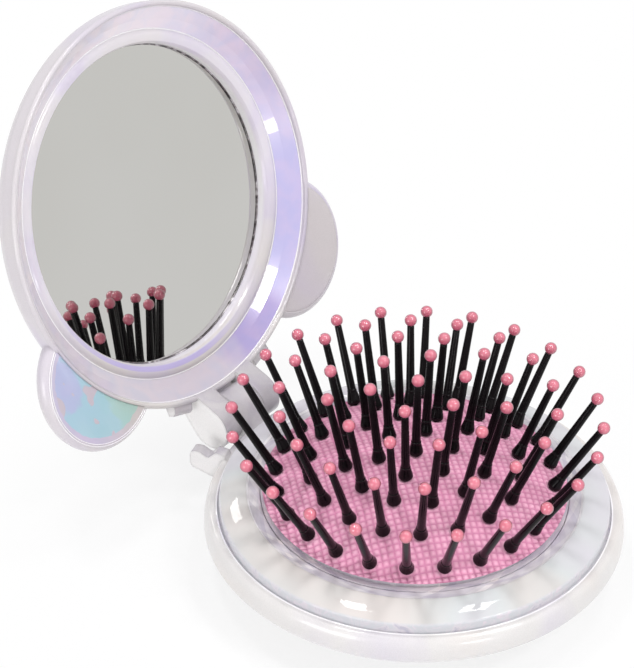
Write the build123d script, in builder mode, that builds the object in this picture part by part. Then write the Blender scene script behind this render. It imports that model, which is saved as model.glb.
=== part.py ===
from build123d import *
import math
import os

# Folding pop-up hair brush with a mirror in its lid. Millimetres, +Z up, origin at the centre of the
# base's underside, hinge behind (+Y). The lid stands open and the pad is up, as in the photograph.

# Clearances
running_clearance = 0.06
seat_clearance = 0.02
panel_clearance = 0.05
slide_clearance = 0.15
soft_clearance = 0.3
foot_clearance = 0.15
side_clearance = 0.15
overrun = 1.0

# Pad and its carrier
pad_radius = 29.0
pad_edge_height = 1.72
pad_edge_round = 0.5
pad_edge_width = 1.4
pad_lip_overhang = 0.9
pad_lip_thickness = 0.7
pad_thickness = 1.2
dome_radius = 57.4
carrier_wall = 1.5
carrier_height = 1.5
carrier_inset = 0.2
flange_thickness = 0.6
flange_stop_gap = 0.1

# Base ring: glossy top, collar over the pad's edge, and the sleeve that guides the carrier
collar_gap = 0.4
collar_overhang = 0.7
collar_thickness = 0.7
ring_fall_width = 3.0
ring_fall_height = 0.8
ring_brow_width = 4.7
ring_brow_height = 2.3
ring_brow_handle = 2.2
ring_edge_handle = 0.8
ring_exposure = 1.4
sleeve_wall = 1.5
rib_count = 8
rib_width = 1.2
rib_depth = 0.6
rib_side_gap = 0.25
rib_tip_gap = 0.2

# Base shell
mouth_gap = 0.4
mouth_width = 0.9
belly_width = 1.6
belly_height = 9.5
belly_handle = 1.6
shoulder_rise = 0.2
shoulder_handle = 2.3
mouth_height = 13.2
foot_handle_reach = 1.6
foot_handle_rise = 0.5
foot_width = 4.6
well_inset = 5.0
lip_thickness = 0.8
floor_thickness = 1.5
ring_seat_depth = 2.3
sleeve_seat_height = 4.4

# Pins, measured along each pin from its foot
pin_length = 17.0
ball_radius = 1.2
shaft_tip_radius = 0.68
shaft_foot_radius = 0.86
flare_radius = 1.4
flare_edge = 0.9
flare_waist = 1.6
flare_height = 3.2
heel_radius = 1.05
neck_radius = 0.6
root_radius = 1.2
root_thickness = 0.5

# Hinge
lid_open_angle = 110.0
lid_gap = 1.8
hinge_drop = 0.79
hinge_gap = 0.505
knuckle_radius = 4.65
knuckle_length = 4.65
barrel_length = 6.4
hinge_pin_radius = 1.0
hinge_pin_cap = 1.0
web_height = 3.6
web_bottom = 8.6
web_root = 2.0
stop_gap = 0.05
stop_width = 4.8
stop_low = 1.4
stop_height = 3.0
stop_thickness = 1.2
stop_root_radius = 2.2

# Notched keeper on the base, left of the hinge only, and plain lugs on the lid on both sides of it
keeper_angle = 18.1
keeper_width = 2.4
keeper_reach = 5.8
keeper_bottom = 7.4
keeper_toe = 10.2
keeper_toe_round = 0.5
keeper_lip_top = 13.9
keeper_lip_width = 2.1
keeper_lip_round = 1.0
keeper_lip_bulge = 0.3
keeper_notch_bottom = 13.1
keeper_prong_top = 14.6
keeper_prong_width = 0.4
keeper_slope = 1.4
lug_angle = 17.0
lug_width = 4.8
lug_reach = 2.0
lug_round = 0.6
lug_arm_depth = 0.5
lug_back_depth = 3.4
lug_toe_depth = 2.2

# Lid disc: depths are measured back from the rim's front plane
rim_inset = 0.7
rim_width = 1.1
rim_crease = 0.1
rim_tip_inset = 0.5
rim_crease_depth = 0.8
rim_outer_depth = 0.9
wall_inset = 0.1
wall_depth = 3.2
wall_handle_inset = 0.4
wall_handle_depth = 5.6
brow_inset = 3.8
brow_drop = 0.95
back_edge_inset = 8.3
back_crown = 1.65
crown_handle = 6.0
crown_handle_drop = 0.5
crown_middle = 10.0
lid_wall = 0.9
ledge_margin = 0.8
ledge_drop = 0.25
backing_wall = 1.25
tray_corner_inset = 3.7
tray_corner_depth = 6.2
tray_bend_depth = 4.2

# Sloping ring of the lid
channel_width = 4.2
channel_lip_width = 1.25
channel_crest_depth = 0.95
channel_mid_width = 1.95
channel_mid_depth = 2.75
channel_foot_depth = 4.05
channel_seat_depth = 2.9
channel_foot_gap = 0.15
channel_foot_width = 0.3

# Mirror and bezel
bezel_width = 2.75
bezel_seat_depth = 5.25
bezel_crest_inset = 1.2
bezel_crest_rise = 0.5
bezel_lip_depth = 5.3
bezel_roll_width = 0.5
bezel_roll_depth = 4.1
bezel_skirt_wall = 0.5
bezel_lip_width = 0.85
mirror_depth = 6.75
mirror_thickness = 0.8
mirror_edge_gap = 0.1
backing_thickness = 1.55
backing_width = 2.4
backing_edge_inset = 1.0

# Lobes of the lid
lobe_side_inset = 10.8
lobe_drop_inset = 16.7
lobe_radius = 14.3
lobe_belly_depth = 1.6
lobe_face_inset = 1.0
lobe_face_depth = 0.3
lobe_back_inset = 0.9
lobe_back_depth = 3.8
lobe_end_inset = 2.9
lobe_end_depth = 4.8
lobe_rim_wall = 0.8
panel_inset = 1.7
panel_depth = 0.55
panel_thickness = 0.8
pocket_inset = 0.7
pocket_wall = 0.9

# Rows of pins: number of pins, foot radius as a share of the pad's, lean and turn of the first in degrees
row_centre_count = 1
row_6_count = 6
row_6_share = 0.2431
row_6_lean_angle = 6.9
row_6_turn_angle = 22.0
row_12_count = 12
row_12_share = 0.4586
row_12_lean_angle = 12.6
row_12_turn_angle = 20.0
row_18_count = 18
row_18_share = 0.6828
row_18_lean_angle = 21.2
row_24_count = 24
row_24_share = 0.8966
row_24_lean_angle = 30.5
row_24_turn_angle = 4.0
group_pin_count = 3
row_centre = (row_centre_count, 0, 0, 0)
row_6 = (row_6_count, row_6_share, row_6_lean_angle, row_6_turn_angle)
row_12 = (row_12_count, row_12_share, row_12_lean_angle, row_12_turn_angle)
row_18 = (row_18_count, row_18_share, row_18_lean_angle, 0)
row_24 = (row_24_count, row_24_share, row_24_lean_angle, row_24_turn_angle)

# Radii of the base, from the pad outward
collar_radius = pad_radius + collar_gap
sleeve_radius = collar_radius + collar_overhang
ring_crest_radius = collar_radius + ring_fall_width
ring_radius = ring_crest_radius + ring_brow_width
mouth_radius = ring_radius + mouth_gap
shoulder_radius = mouth_radius + mouth_width
base_radius = shoulder_radius + belly_width
well_radius = pad_radius - well_inset
foot_radius = well_radius + foot_width
pad_inner_radius = pad_radius - pad_edge_width
pad_wall_radius = pad_radius - pad_lip_overhang
carrier_radius = collar_radius - carrier_inset
carrier_inner_radius = carrier_radius - carrier_wall

# Heights of the base, from the underside
ring_edge_height = mouth_height + ring_exposure
ring_crest_height = ring_edge_height + ring_brow_height
collar_top = ring_crest_height - ring_fall_height
collar_bottom = collar_top - collar_thickness
flange_top = collar_bottom - flange_stop_gap
carrier_bottom = flange_top - flange_thickness
carrier_top = carrier_bottom + carrier_height
dome_edge_height = carrier_top + pad_edge_height
dome_centre = dome_edge_height - math.sqrt(dome_radius ** 2 - pad_inner_radius ** 2)
ring_seat_height = mouth_height - ring_seat_depth

# Radii and places of the lid, from the rim inward
rim_radius = base_radius - rim_inset
rim_inner_radius = rim_radius - rim_width
lobe_side = rim_radius - lobe_side_inset
lobe_drop = rim_radius - lobe_drop_inset
channel_radius = rim_inner_radius - panel_clearance
channel_inner_radius = channel_radius - channel_width
channel_seat_radius = channel_radius - channel_lip_width
bezel_radius = channel_inner_radius - channel_foot_gap
mirror_window_radius = bezel_radius - bezel_width
mirror_pocket_radius = mirror_window_radius + bezel_lip_width
mirror_radius = mirror_pocket_radius - mirror_edge_gap
skirt_radius = mirror_pocket_radius + bezel_skirt_wall
mirror_back_depth = mirror_depth + mirror_thickness
tray_floor_depth = mirror_back_depth + backing_thickness
backing_radius = mirror_radius - backing_edge_inset
back_edge_depth = tray_floor_depth + backing_wall
back_depth = back_edge_depth + back_crown
lid_closed_height = mouth_height + lid_gap
hinge_y = rim_radius + knuckle_radius + hinge_gap
hinge_z = lid_closed_height - hinge_drop
barrel_half = barrel_length / 2
arm_inner = barrel_half + side_clearance
arm_outer = arm_inner + knuckle_length

# Height along a pin where its ball is cut flat to sit on the shaft
ball_seat = pin_length - math.sqrt(ball_radius ** 2 - shaft_tip_radius ** 2)


def axis_of(frame):
    """The line through a frame's origin along its +Z."""
    return Axis(frame.origin, frame.z_dir)


def section_of(frame):
    """The plane of a turned profile: radius across, height along the frame's axis."""
    return Plane(origin=frame.origin, x_dir=frame.x_dir, z_dir=-frame.y_dir)


def side_of(frame, x):
    """The plane at x that looks along X: the frame's y across, its z upward."""
    return Plane(origin=frame.from_local_coords((x, 0, 0)), x_dir=frame.y_dir, z_dir=frame.x_dir)


def spoke_of(frame, side, angle):
    """The upright plane through the axis that lies an angle from the hinge, towards one side."""
    lean = math.radians(angle)
    outward = frame.x_dir * (side * math.sin(lean)) + frame.y_dir * math.cos(lean)
    return Plane(origin=frame.origin, x_dir=outward, z_dir=outward.cross(frame.z_dir))


def open_lid_frame():
    """The open lid's frame: origin at the rim's centre, +Y towards the hinge, +Z out of the back."""
    turn = math.radians(lid_open_angle)
    y = hinge_y - hinge_y * math.cos(turn) + hinge_drop * math.sin(turn)
    z = hinge_z + hinge_y * math.sin(turn) + hinge_drop * math.cos(turn)
    return Plane(origin=(0, y, z), x_dir=(1, 0, 0), z_dir=(0, math.sin(turn), math.cos(turn)))


base_frame = Plane.XY
lid_frame = open_lid_frame()


def dome_height(radius, inset=0):
    """Height of the pad's dome, or of the surface inset below it, at a radius from the axis."""
    return dome_centre + math.sqrt((dome_radius - inset) ** 2 - radius ** 2)


def pin_frames(row, first=0, number=None):
    """Frames at the feet of a row's pins: origin on the pad, +Z along the pin."""
    count, radius_share, lean, turn = row
    radius = radius_share * pad_radius
    tilt = math.radians(lean)
    frames = []
    for index in range(first, first + (number or count)):
        angle = math.radians(turn + 360.0 * index / count)
        along = Vector(math.sin(tilt) * math.cos(angle), math.sin(tilt) * math.sin(angle), math.cos(tilt))
        foot = Vector(radius * math.cos(angle), radius * math.sin(angle), dome_height(radius))
        frames.append(Plane(origin=foot, x_dir=(-math.sin(angle), math.cos(angle), 0), z_dir=along))
    return frames


def all_pin_frames():
    """Frames of every pin on the pad."""
    rows = (row_centre, row_6, row_12, row_18, row_24)
    return [frame for row in rows for frame in pin_frames(row)]


def write(node, name):
    """Label a finished piece and write it."""
    node.part.label = name
    export_step(node.part, "parts/" + name + ".step")


# Middle barrel of the hinge, with its web to the shell and the flat that the open lid rests on
def make_barrel():
    with BuildPart() as barrel:
        with BuildSketch(side_of(base_frame, -barrel_half)):
            with Locations((hinge_y, hinge_z)):
                Circle(knuckle_radius)
            with BuildLine():
                Polyline(
                    (shoulder_radius, web_bottom),
                    (shoulder_radius, web_bottom + web_height),
                    (shoulder_radius - web_root / 2, web_bottom + web_height),
                    (shoulder_radius - web_root / 2, web_bottom),
                    close=True,
                )
            make_hull()
        extrude(amount=barrel_length)
        with BuildSketch(side_of(lid_frame, -stop_width / 2)):
            with BuildLine():
                Polyline(
                    (rim_radius + stop_gap, stop_low),
                    (rim_radius + stop_gap, stop_low + stop_height),
                    (rim_radius + stop_gap + stop_thickness, stop_low + stop_height),
                    (rim_radius + stop_gap + stop_thickness, stop_low),
                    close=True,
                )
            with Locations((hinge_y, -hinge_drop)):
                Circle(stop_root_radius)
            make_hull()
        extrude(amount=stop_width)
    return barrel.part


# Keeper: block behind the shell with a rounded lip and a shallow notch on top
def make_keeper(side):
    root = shoulder_radius
    notch_wall = root + keeper_prong_width + belly_width
    end = root + belly_width + keeper_reach
    lip_wall = end - keeper_lip_width
    with BuildPart() as keeper:
        with BuildSketch(spoke_of(base_frame, side, keeper_angle)):
            with BuildLine():
                Polyline(
                    (root - web_root / 2, keeper_bottom),
                    (end - keeper_toe_round, keeper_toe - keeper_toe_round / 2),
                    (end, keeper_toe + keeper_toe_round),
                    (end, keeper_lip_top - keeper_lip_round),
                    (end - keeper_lip_bulge, keeper_lip_top - keeper_lip_bulge),
                    (end - keeper_lip_round, keeper_lip_top),
                    (lip_wall, keeper_lip_top),
                    (lip_wall - keeper_slope, keeper_notch_bottom),
                    (notch_wall + keeper_slope, keeper_notch_bottom),
                    (notch_wall, keeper_prong_top),
                    (root, keeper_prong_top - shoulder_rise),
                    (root - web_root / 2, mouth_height - web_root),
                    close=True,
                )
            make_face()
        extrude(amount=keeper_width / 2, both=True)
    return keeper.part


# Base shell
def make_base_shell():
    barrel = make_barrel()
    keeper = make_keeper(-1)
    with BuildPart() as base_shell:
        with BuildSketch(section_of(base_frame)):
            with BuildLine():
                Polyline(
                    (pad_inner_radius, floor_thickness),
                    (pad_inner_radius, lip_thickness),
                    (well_radius, lip_thickness),
                    (well_radius, 0),
                    (foot_radius, 0),
                )
                Bezier(
                    (foot_radius, 0),
                    (foot_radius + foot_handle_reach, foot_handle_rise),
                    (base_radius, belly_height - belly_handle),
                    (base_radius, belly_height),
                )
                Bezier(
                    (base_radius, belly_height),
                    (base_radius, belly_height + shoulder_handle),
                    (shoulder_radius + mouth_width, mouth_height + shoulder_rise),
                    (shoulder_radius, mouth_height + shoulder_rise),
                )
                Polyline(
                    (shoulder_radius, mouth_height + shoulder_rise),
                    (mouth_radius, mouth_height),
                    (mouth_radius, ring_seat_height),
                    (sleeve_radius + sleeve_wall + panel_clearance, ring_seat_height),
                    (sleeve_radius + sleeve_wall + panel_clearance, sleeve_seat_height),
                    (sleeve_radius, sleeve_seat_height),
                    (sleeve_radius, floor_thickness),
                    (pad_inner_radius, floor_thickness),
                )
            make_face()
        revolve(axis=axis_of(base_frame))
        add(barrel)
        add(keeper)
        with BuildSketch(side_of(base_frame, -barrel_half - overrun)):
            with Locations((hinge_y, hinge_z)):
                Circle(hinge_pin_radius + running_clearance)
        extrude(amount=barrel_length + overrun * 2, mode=Mode.SUBTRACT)
    write(base_shell, "base_shell")


# Base ring with its guide sleeve
def make_base_ring():
    with BuildPart() as base_ring:
        with BuildSketch(section_of(base_frame)):
            with BuildLine():
                Line((ring_radius, ring_seat_height), (ring_radius, ring_edge_height))
                Bezier(
                    (ring_radius, ring_edge_height),
                    (ring_radius, ring_edge_height + ring_edge_handle),
                    (ring_crest_radius + ring_brow_handle, ring_crest_height),
                    (ring_crest_radius, ring_crest_height),
                )
                Bezier(
                    (ring_crest_radius, ring_crest_height),
                    (ring_crest_radius - ring_fall_width / 2, ring_crest_height),
                    (collar_radius + ring_fall_height, collar_top + ring_fall_height / 2),
                    (collar_radius, collar_top),
                )
                Polyline(
                    (collar_radius, collar_top),
                    (collar_radius, collar_bottom),
                    (sleeve_radius, collar_bottom),
                    (sleeve_radius, sleeve_seat_height),
                    (sleeve_radius + sleeve_wall, sleeve_seat_height),
                    (sleeve_radius + sleeve_wall, ring_seat_height),
                    (ring_radius, ring_seat_height),
                )
            make_face()
        revolve(axis=axis_of(base_frame))
        with BuildSketch(base_frame.offset(sleeve_seat_height)):
            with PolarLocations(sleeve_radius, rib_count):
                Rectangle(rib_depth * 2, rib_width)
        extrude(amount=collar_bottom - sleeve_seat_height)
    write(base_ring, "base_ring")


# Carrier ring under the pad, with a notched flange that the collar holds back
def make_pad_carrier():
    with BuildPart() as pad_carrier:
        with BuildSketch(base_frame.offset(carrier_bottom)):
            Circle(carrier_radius)
            Circle(carrier_inner_radius, mode=Mode.SUBTRACT)
        extrude(amount=carrier_height)
        with BuildSketch(base_frame.offset(carrier_bottom)):
            Circle(sleeve_radius - slide_clearance)
            Circle(carrier_inner_radius, mode=Mode.SUBTRACT)
            with PolarLocations(sleeve_radius, rib_count):
                Rectangle((rib_depth + rib_tip_gap) * 2, rib_width + rib_side_gap * 2, mode=Mode.SUBTRACT)
        extrude(amount=flange_thickness)
    write(pad_carrier, "pad_carrier")


# Rubber pad: dome with a thin lip round it that overhangs the carrier, and a hole for each pin's neck
def make_pad_cushion():
    inner_top = dome_height(0, pad_thickness)
    inner_edge = dome_height(pad_inner_radius, pad_thickness)
    with BuildPart() as pad_cushion:
        with BuildSketch(section_of(base_frame)):
            with BuildLine():
                Line((0, inner_top), (0, dome_height(0)))
                ThreePointArc(
                    (0, dome_height(0)),
                    (pad_inner_radius / 2, dome_height(pad_inner_radius / 2)),
                    (pad_inner_radius, dome_edge_height),
                )
                Polyline(
                    (pad_inner_radius, dome_edge_height),
                    (pad_radius - pad_edge_round, dome_edge_height),
                    (pad_radius, dome_edge_height - pad_edge_round / 2),
                    (pad_wall_radius, dome_edge_height - pad_lip_thickness),
                    (pad_wall_radius, carrier_top),
                    (pad_inner_radius, carrier_top),
                    (pad_inner_radius, inner_edge),
                )
                ThreePointArc(
                    (pad_inner_radius, inner_edge),
                    (pad_inner_radius / 2, dome_height(pad_inner_radius / 2, pad_thickness)),
                    (0, inner_top),
                )
            make_face()
        revolve(axis=axis_of(base_frame))
        for frame in all_pin_frames():
            with BuildSketch(frame.offset(-pad_thickness - overrun)):
                Circle(neck_radius + soft_clearance)
            extrude(amount=pad_thickness + overrun * 2, mode=Mode.SUBTRACT)
    write(pad_cushion, "pad_cushion")


# One pin: root below the pad, neck through it, flared foot and tapered shaft
def make_pin():
    neck_bottom = -pad_thickness - foot_clearance
    root_bottom = neck_bottom - root_thickness
    with BuildPart() as pin:
        with BuildSketch(section_of(base_frame)):
            with BuildLine():
                Polyline(
                    (0, ball_seat),
                    (0, root_bottom),
                    (root_radius, root_bottom),
                    (root_radius, neck_bottom),
                    (neck_radius, neck_bottom),
                    (neck_radius, foot_clearance),
                    (heel_radius, foot_clearance),
                    (flare_radius, flare_edge),
                    (flare_radius, flare_waist),
                    (shaft_foot_radius, flare_height),
                    (shaft_tip_radius, ball_seat),
                    close=True,
                )
            make_face()
        revolve(axis=axis_of(base_frame))
    return pin.part


# One ball tip, flat where it sits on the shaft
def make_ball():
    with BuildPart() as ball:
        with BuildSketch(section_of(base_frame)):
            with BuildLine():
                Line((shaft_tip_radius, ball_seat), (0, ball_seat))
                Line((0, ball_seat), (0, pin_length + ball_radius))
                ThreePointArc(
                    (0, pin_length + ball_radius),
                    (ball_radius, pin_length),
                    (shaft_tip_radius, ball_seat),
                )
            make_face()
        revolve(axis=axis_of(base_frame))
    return ball.part


# Every group of pins and every group of tips
def make_pins():
    pin = make_pin()
    ball = make_ball()
    groups = [
        ("centre", pin_frames(row_centre)),
        ("row_6", pin_frames(row_6)),
        ("row_12", pin_frames(row_12)),
    ]
    for name, row in (("row_18", row_18), ("row_24", row_24)):
        for index in range(row[0] // group_pin_count):
            first = index * group_pin_count
            groups.append((f"{name}_{index + 1}", pin_frames(row, first, group_pin_count)))
    for name, frames in groups:
        with BuildPart() as pins:
            with Locations(*frames):
                add(pin)
        write(pins, "pins_" + name)
        with BuildPart() as tips:
            with Locations(*frames):
                add(ball)
        write(tips, "tips_" + name)


# Solid of one lobe about its own axis, as it joins the lid disc
def make_lobe(side):
    frame = Plane(
        origin=lid_frame.from_local_coords((side * lobe_side, lobe_drop, 0)),
        x_dir=lid_frame.x_dir,
        z_dir=lid_frame.z_dir,
    )
    with BuildPart() as lobe:
        with BuildSketch(section_of(frame)):
            with BuildLine():
                Line((0, lobe_end_depth), (0, lobe_face_depth))
                Line((0, lobe_face_depth), (lobe_radius - lobe_face_inset, lobe_face_depth))
                Spline(
                    (lobe_radius - lobe_face_inset, lobe_face_depth),
                    (lobe_radius, lobe_belly_depth),
                    (lobe_radius - lobe_back_inset, lobe_back_depth),
                    (lobe_radius - lobe_end_inset, lobe_end_depth),
                )
                Line((lobe_radius - lobe_end_inset, lobe_end_depth), (0, lobe_end_depth))
            make_face()
        revolve(axis=axis_of(frame))
    return lobe.part


# Pair of hinge arms with their knuckles
def make_arms():
    with BuildPart() as arms:
        for start in (arm_inner, -arm_outer):
            with BuildSketch(side_of(lid_frame, start)):
                with Locations((hinge_y, -hinge_drop)):
                    Circle(knuckle_radius)
                with BuildLine():
                    Polyline(
                        (rim_inner_radius, rim_outer_depth),
                        (rim_inner_radius - rim_width, rim_outer_depth),
                        (rim_inner_radius - rim_width, tray_corner_depth),
                        (rim_inner_radius, tray_corner_depth),
                        close=True,
                    )
                make_hull()
            extrude(amount=knuckle_length)
    return arms.part


# Lug under the rim, beside a hinge arm
def make_lug(side):
    tip = rim_radius + lug_reach
    with BuildPart() as lug:
        with BuildSketch(spoke_of(lid_frame, side, lug_angle)):
            with BuildLine():
                Polyline(
                    (rim_inner_radius + rim_tip_inset, lug_arm_depth),
                    (tip - lug_round, lug_arm_depth),
                    (tip, lug_arm_depth + lug_round),
                    (tip, lug_toe_depth),
                    (rim_inner_radius + rim_tip_inset, lug_back_depth),
                    close=True,
                )
            make_face()
        extrude(amount=lug_width / 2, both=True)
    return lug.part


# Lid shell: tray, lobes, hinge arms and lugs
def make_lid_shell():
    lobes = [make_lobe(side) for side in (-1, 1)]
    lugs = [make_lug(side) for side in (-1, 1)]
    arms = make_arms()
    back_edge_radius = rim_radius - back_edge_inset
    ledge_radius = backing_radius - backing_width - ledge_margin
    rib_inner_radius = skirt_radius + panel_clearance
    rib_radius = channel_inner_radius + channel_foot_width
    with BuildPart() as lid_shell:
        with BuildSketch(section_of(lid_frame)):
            with BuildLine():
                Line((0, rim_outer_depth), (0, back_depth))
                Bezier(
                    (0, back_depth),
                    (crown_middle, back_depth),
                    (back_edge_radius - crown_handle, back_depth - crown_handle_drop),
                    (back_edge_radius, back_edge_depth),
                )
                Bezier(
                    (back_edge_radius, back_edge_depth),
                    (rim_radius - brow_inset, back_edge_depth - brow_drop),
                    (rim_radius - wall_handle_inset, wall_handle_depth),
                    (rim_radius - wall_inset, wall_depth),
                )
                Line((rim_radius - wall_inset, wall_depth), (rim_radius, rim_outer_depth))
                ThreePointArc(
                    (rim_radius, rim_outer_depth),
                    (rim_radius - rim_tip_inset, 0),
                    (rim_inner_radius + rim_crease, rim_crease_depth),
                )
                Polyline(
                    (rim_inner_radius + rim_crease, rim_crease_depth),
                    (rim_inner_radius, rim_outer_depth),
                    (0, rim_outer_depth),
                )
            make_face()
        revolve(axis=axis_of(lid_frame))
        add(lobes)
        add(arms)
        add(lugs)
        with BuildSketch(section_of(lid_frame)):
            with BuildLine():
                Polyline(
                    (0, -overrun),
                    (rim_inner_radius, -overrun),
                    (rim_inner_radius, channel_seat_depth),
                    (channel_seat_radius, channel_seat_depth),
                    (channel_seat_radius, tray_bend_depth),
                    (rim_radius - tray_corner_inset, tray_corner_depth),
                    (rib_radius, tray_corner_depth + rim_width),
                    (rib_radius, bezel_seat_depth),
                    (rib_inner_radius, bezel_seat_depth),
                    (rib_inner_radius, mirror_back_depth),
                    (mirror_pocket_radius, tray_floor_depth),
                    (ledge_radius, tray_floor_depth),
                    (ledge_radius, back_edge_depth - ledge_drop),
                )
                Bezier(
                    (ledge_radius, back_edge_depth - ledge_drop),
                    (ledge_radius - crown_handle, back_depth - lid_wall - crown_handle_drop),
                    (crown_middle, back_depth - lid_wall),
                    (0, back_depth - lid_wall),
                )
                Line((0, back_depth - lid_wall), (0, -overrun))
            make_face()
        revolve(axis=axis_of(lid_frame), mode=Mode.SUBTRACT)
        for side in (-1, 1):
            with BuildSketch(lid_frame.offset(panel_depth + panel_thickness)):
                with Locations((side * lobe_side, lobe_drop)):
                    Circle(lobe_radius - panel_inset)
                Circle(rim_inner_radius + lobe_rim_wall, mode=Mode.SUBTRACT)
            extrude(amount=-panel_depth - panel_thickness - overrun, mode=Mode.SUBTRACT)
            with BuildSketch(lid_frame.offset(lobe_end_depth - pocket_wall)):
                with Locations((side * lobe_side, lobe_drop)):
                    Circle(lobe_radius - panel_inset - pocket_inset)
                Circle(rim_inner_radius + lobe_rim_wall + pocket_inset, mode=Mode.SUBTRACT)
            extrude(amount=-lobe_end_depth, mode=Mode.SUBTRACT)
        with BuildSketch(side_of(lid_frame, hinge_pin_cap - arm_outer)):
            with Locations((hinge_y, -hinge_drop)):
                Circle(hinge_pin_radius + seat_clearance)
        extrude(amount=arm_outer * 2 + overrun, mode=Mode.SUBTRACT)
    write(lid_shell, "lid_shell")


# Flat faces of the two lobes
def make_lobe_panels():
    for side, name in ((-1, "left"), (1, "right")):
        with BuildPart() as panel:
            with BuildSketch(lid_frame.offset(panel_depth)):
                with Locations((side * lobe_side, lobe_drop)):
                    Circle(lobe_radius - panel_inset - panel_clearance)
                Circle(rim_inner_radius + lobe_rim_wall + panel_clearance, mode=Mode.SUBTRACT)
            extrude(amount=panel_thickness)
        write(panel, "lid_lobe_panel_" + name)


# Sloping ring between rim and mirror
def make_channel_ring():
    with BuildPart() as channel_ring:
        with BuildSketch(section_of(lid_frame)):
            with BuildLine():
                Polyline(
                    (channel_radius, channel_crest_depth),
                    (channel_inner_radius + channel_mid_width, channel_mid_depth),
                    (channel_inner_radius, channel_foot_depth),
                    (channel_inner_radius, bezel_seat_depth),
                    (channel_inner_radius + channel_foot_width, bezel_seat_depth),
                    (channel_seat_radius, channel_seat_depth),
                    (channel_radius, channel_seat_depth),
                    close=True,
                )
            make_face()
        revolve(axis=axis_of(lid_frame))
    write(channel_ring, "lid_channel_ring")


# Bezel: raised bead with a lip over the mirror and a skirt around it
def make_bezel():
    with BuildPart() as bezel:
        with BuildSketch(section_of(lid_frame)):
            with BuildLine():
                Line((bezel_radius, bezel_seat_depth), (bezel_radius, channel_foot_depth))
                Bezier(
                    (bezel_radius, channel_foot_depth),
                    (bezel_radius - bezel_roll_width, channel_foot_depth - bezel_crest_rise),
                    (bezel_radius - bezel_crest_inset, channel_foot_depth - bezel_crest_rise),
                    (mirror_window_radius + bezel_roll_width, bezel_roll_depth),
                )
                Bezier(
                    (mirror_window_radius + bezel_roll_width, bezel_roll_depth),
                    (mirror_window_radius, bezel_roll_depth + bezel_crest_rise),
                    (mirror_window_radius, bezel_lip_depth),
                )
                Polyline(
                    (mirror_window_radius, bezel_lip_depth),
                    (mirror_window_radius, mirror_depth),
                    (mirror_pocket_radius, mirror_depth),
                    (mirror_pocket_radius, mirror_back_depth),
                    (skirt_radius, mirror_back_depth),
                    (skirt_radius, bezel_seat_depth),
                    (bezel_radius, bezel_seat_depth),
                )
            make_face()
        revolve(axis=axis_of(lid_frame))
    write(bezel, "mirror_bezel")


# Mirror glass and the foam ring that bonds it to the tray
def make_mirror():
    with BuildPart() as mirror_glass:
        with BuildSketch(lid_frame.offset(mirror_depth)):
            Circle(mirror_radius)
        extrude(amount=mirror_thickness)
    write(mirror_glass, "mirror_glass")
    with BuildPart() as mirror_backing:
        with BuildSketch(lid_frame.offset(mirror_back_depth)):
            Circle(backing_radius)
            Circle(backing_radius - backing_width, mode=Mode.SUBTRACT)
        extrude(amount=backing_thickness)
    write(mirror_backing, "mirror_backing")


# Hinge pin: through both knuckles and the barrel, blind at one end
def make_hinge_pin():
    with BuildPart() as hinge_pin:
        with BuildSketch(side_of(lid_frame, hinge_pin_cap - arm_outer)):
            with Locations((hinge_y, -hinge_drop)):
                Circle(hinge_pin_radius)
        extrude(amount=arm_outer * 2 - hinge_pin_cap)
    write(hinge_pin, "hinge_pin")


def main():
    os.makedirs("parts", exist_ok=True)
    make_base_shell()
    make_base_ring()
    make_pad_carrier()
    make_pad_cushion()
    make_pins()
    make_lid_shell()
    make_lobe_panels()
    make_channel_ring()
    make_bezel()
    make_mirror()
    make_hinge_pin()


main()
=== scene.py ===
import math

import bpy
import numpy as np
from mathutils import Matrix, Vector


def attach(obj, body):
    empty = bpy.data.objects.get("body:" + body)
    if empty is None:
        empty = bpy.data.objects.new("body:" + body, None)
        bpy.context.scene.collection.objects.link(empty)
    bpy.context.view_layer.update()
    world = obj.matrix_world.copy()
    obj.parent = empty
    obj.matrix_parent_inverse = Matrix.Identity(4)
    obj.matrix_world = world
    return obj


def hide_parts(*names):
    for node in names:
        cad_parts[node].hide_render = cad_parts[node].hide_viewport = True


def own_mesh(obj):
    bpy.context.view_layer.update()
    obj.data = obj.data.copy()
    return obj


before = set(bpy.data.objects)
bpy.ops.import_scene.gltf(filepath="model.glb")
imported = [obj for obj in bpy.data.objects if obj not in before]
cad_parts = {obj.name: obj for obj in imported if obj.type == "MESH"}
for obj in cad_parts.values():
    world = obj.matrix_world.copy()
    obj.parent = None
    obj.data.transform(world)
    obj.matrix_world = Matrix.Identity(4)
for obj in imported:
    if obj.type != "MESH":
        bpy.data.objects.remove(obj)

# Folding pop-up hair brush with a mirror in its lid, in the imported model's frame: origin at the centre of
# the underside, hinge behind (+Y). Meshes are worked out in millimetres. Materials, lights and the camera
# take metres, and angles are degrees where they are written as numbers.

MM = 0.001
FULL_TURN = 2 * math.pi
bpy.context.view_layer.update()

# Pad: the dome keeps its radius inside PAD_INNER, and its lip is level outside it
PAD_RADIUS = 29.0
PAD_SKIN = 1.2
PAD_INNER = 27.6
PAD_RIM = PAD_RADIUS - 0.1
DOME_RADIUS = 57.4
CARRIER_TOP = 16.2
LIP_FOOT = CARRIER_TOP + 0.01
DOME_CENTRE = CARRIER_TOP + 1.72 - math.sqrt(DOME_RADIUS ** 2 - PAD_INNER ** 2)
HOLE_RADIUS = 0.9
HELD_RADIUS = 26.9
SEAT_RADIUS = 27.5
LIP_PROFILE = ((28.97, 17.7), (28.9, 17.63), (28.6, 17.5), (28.12, 17.27), (28.06, 17.2), (28.05, LIP_FOOT))
WAFFLE_PITCH = 1.25
WAFFLE_TURN = 50.0
WAFFLE_STEPS = 8
WAFFLE_DEPTH = 0.34
TOOTH_DEPTH = 0.06

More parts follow.
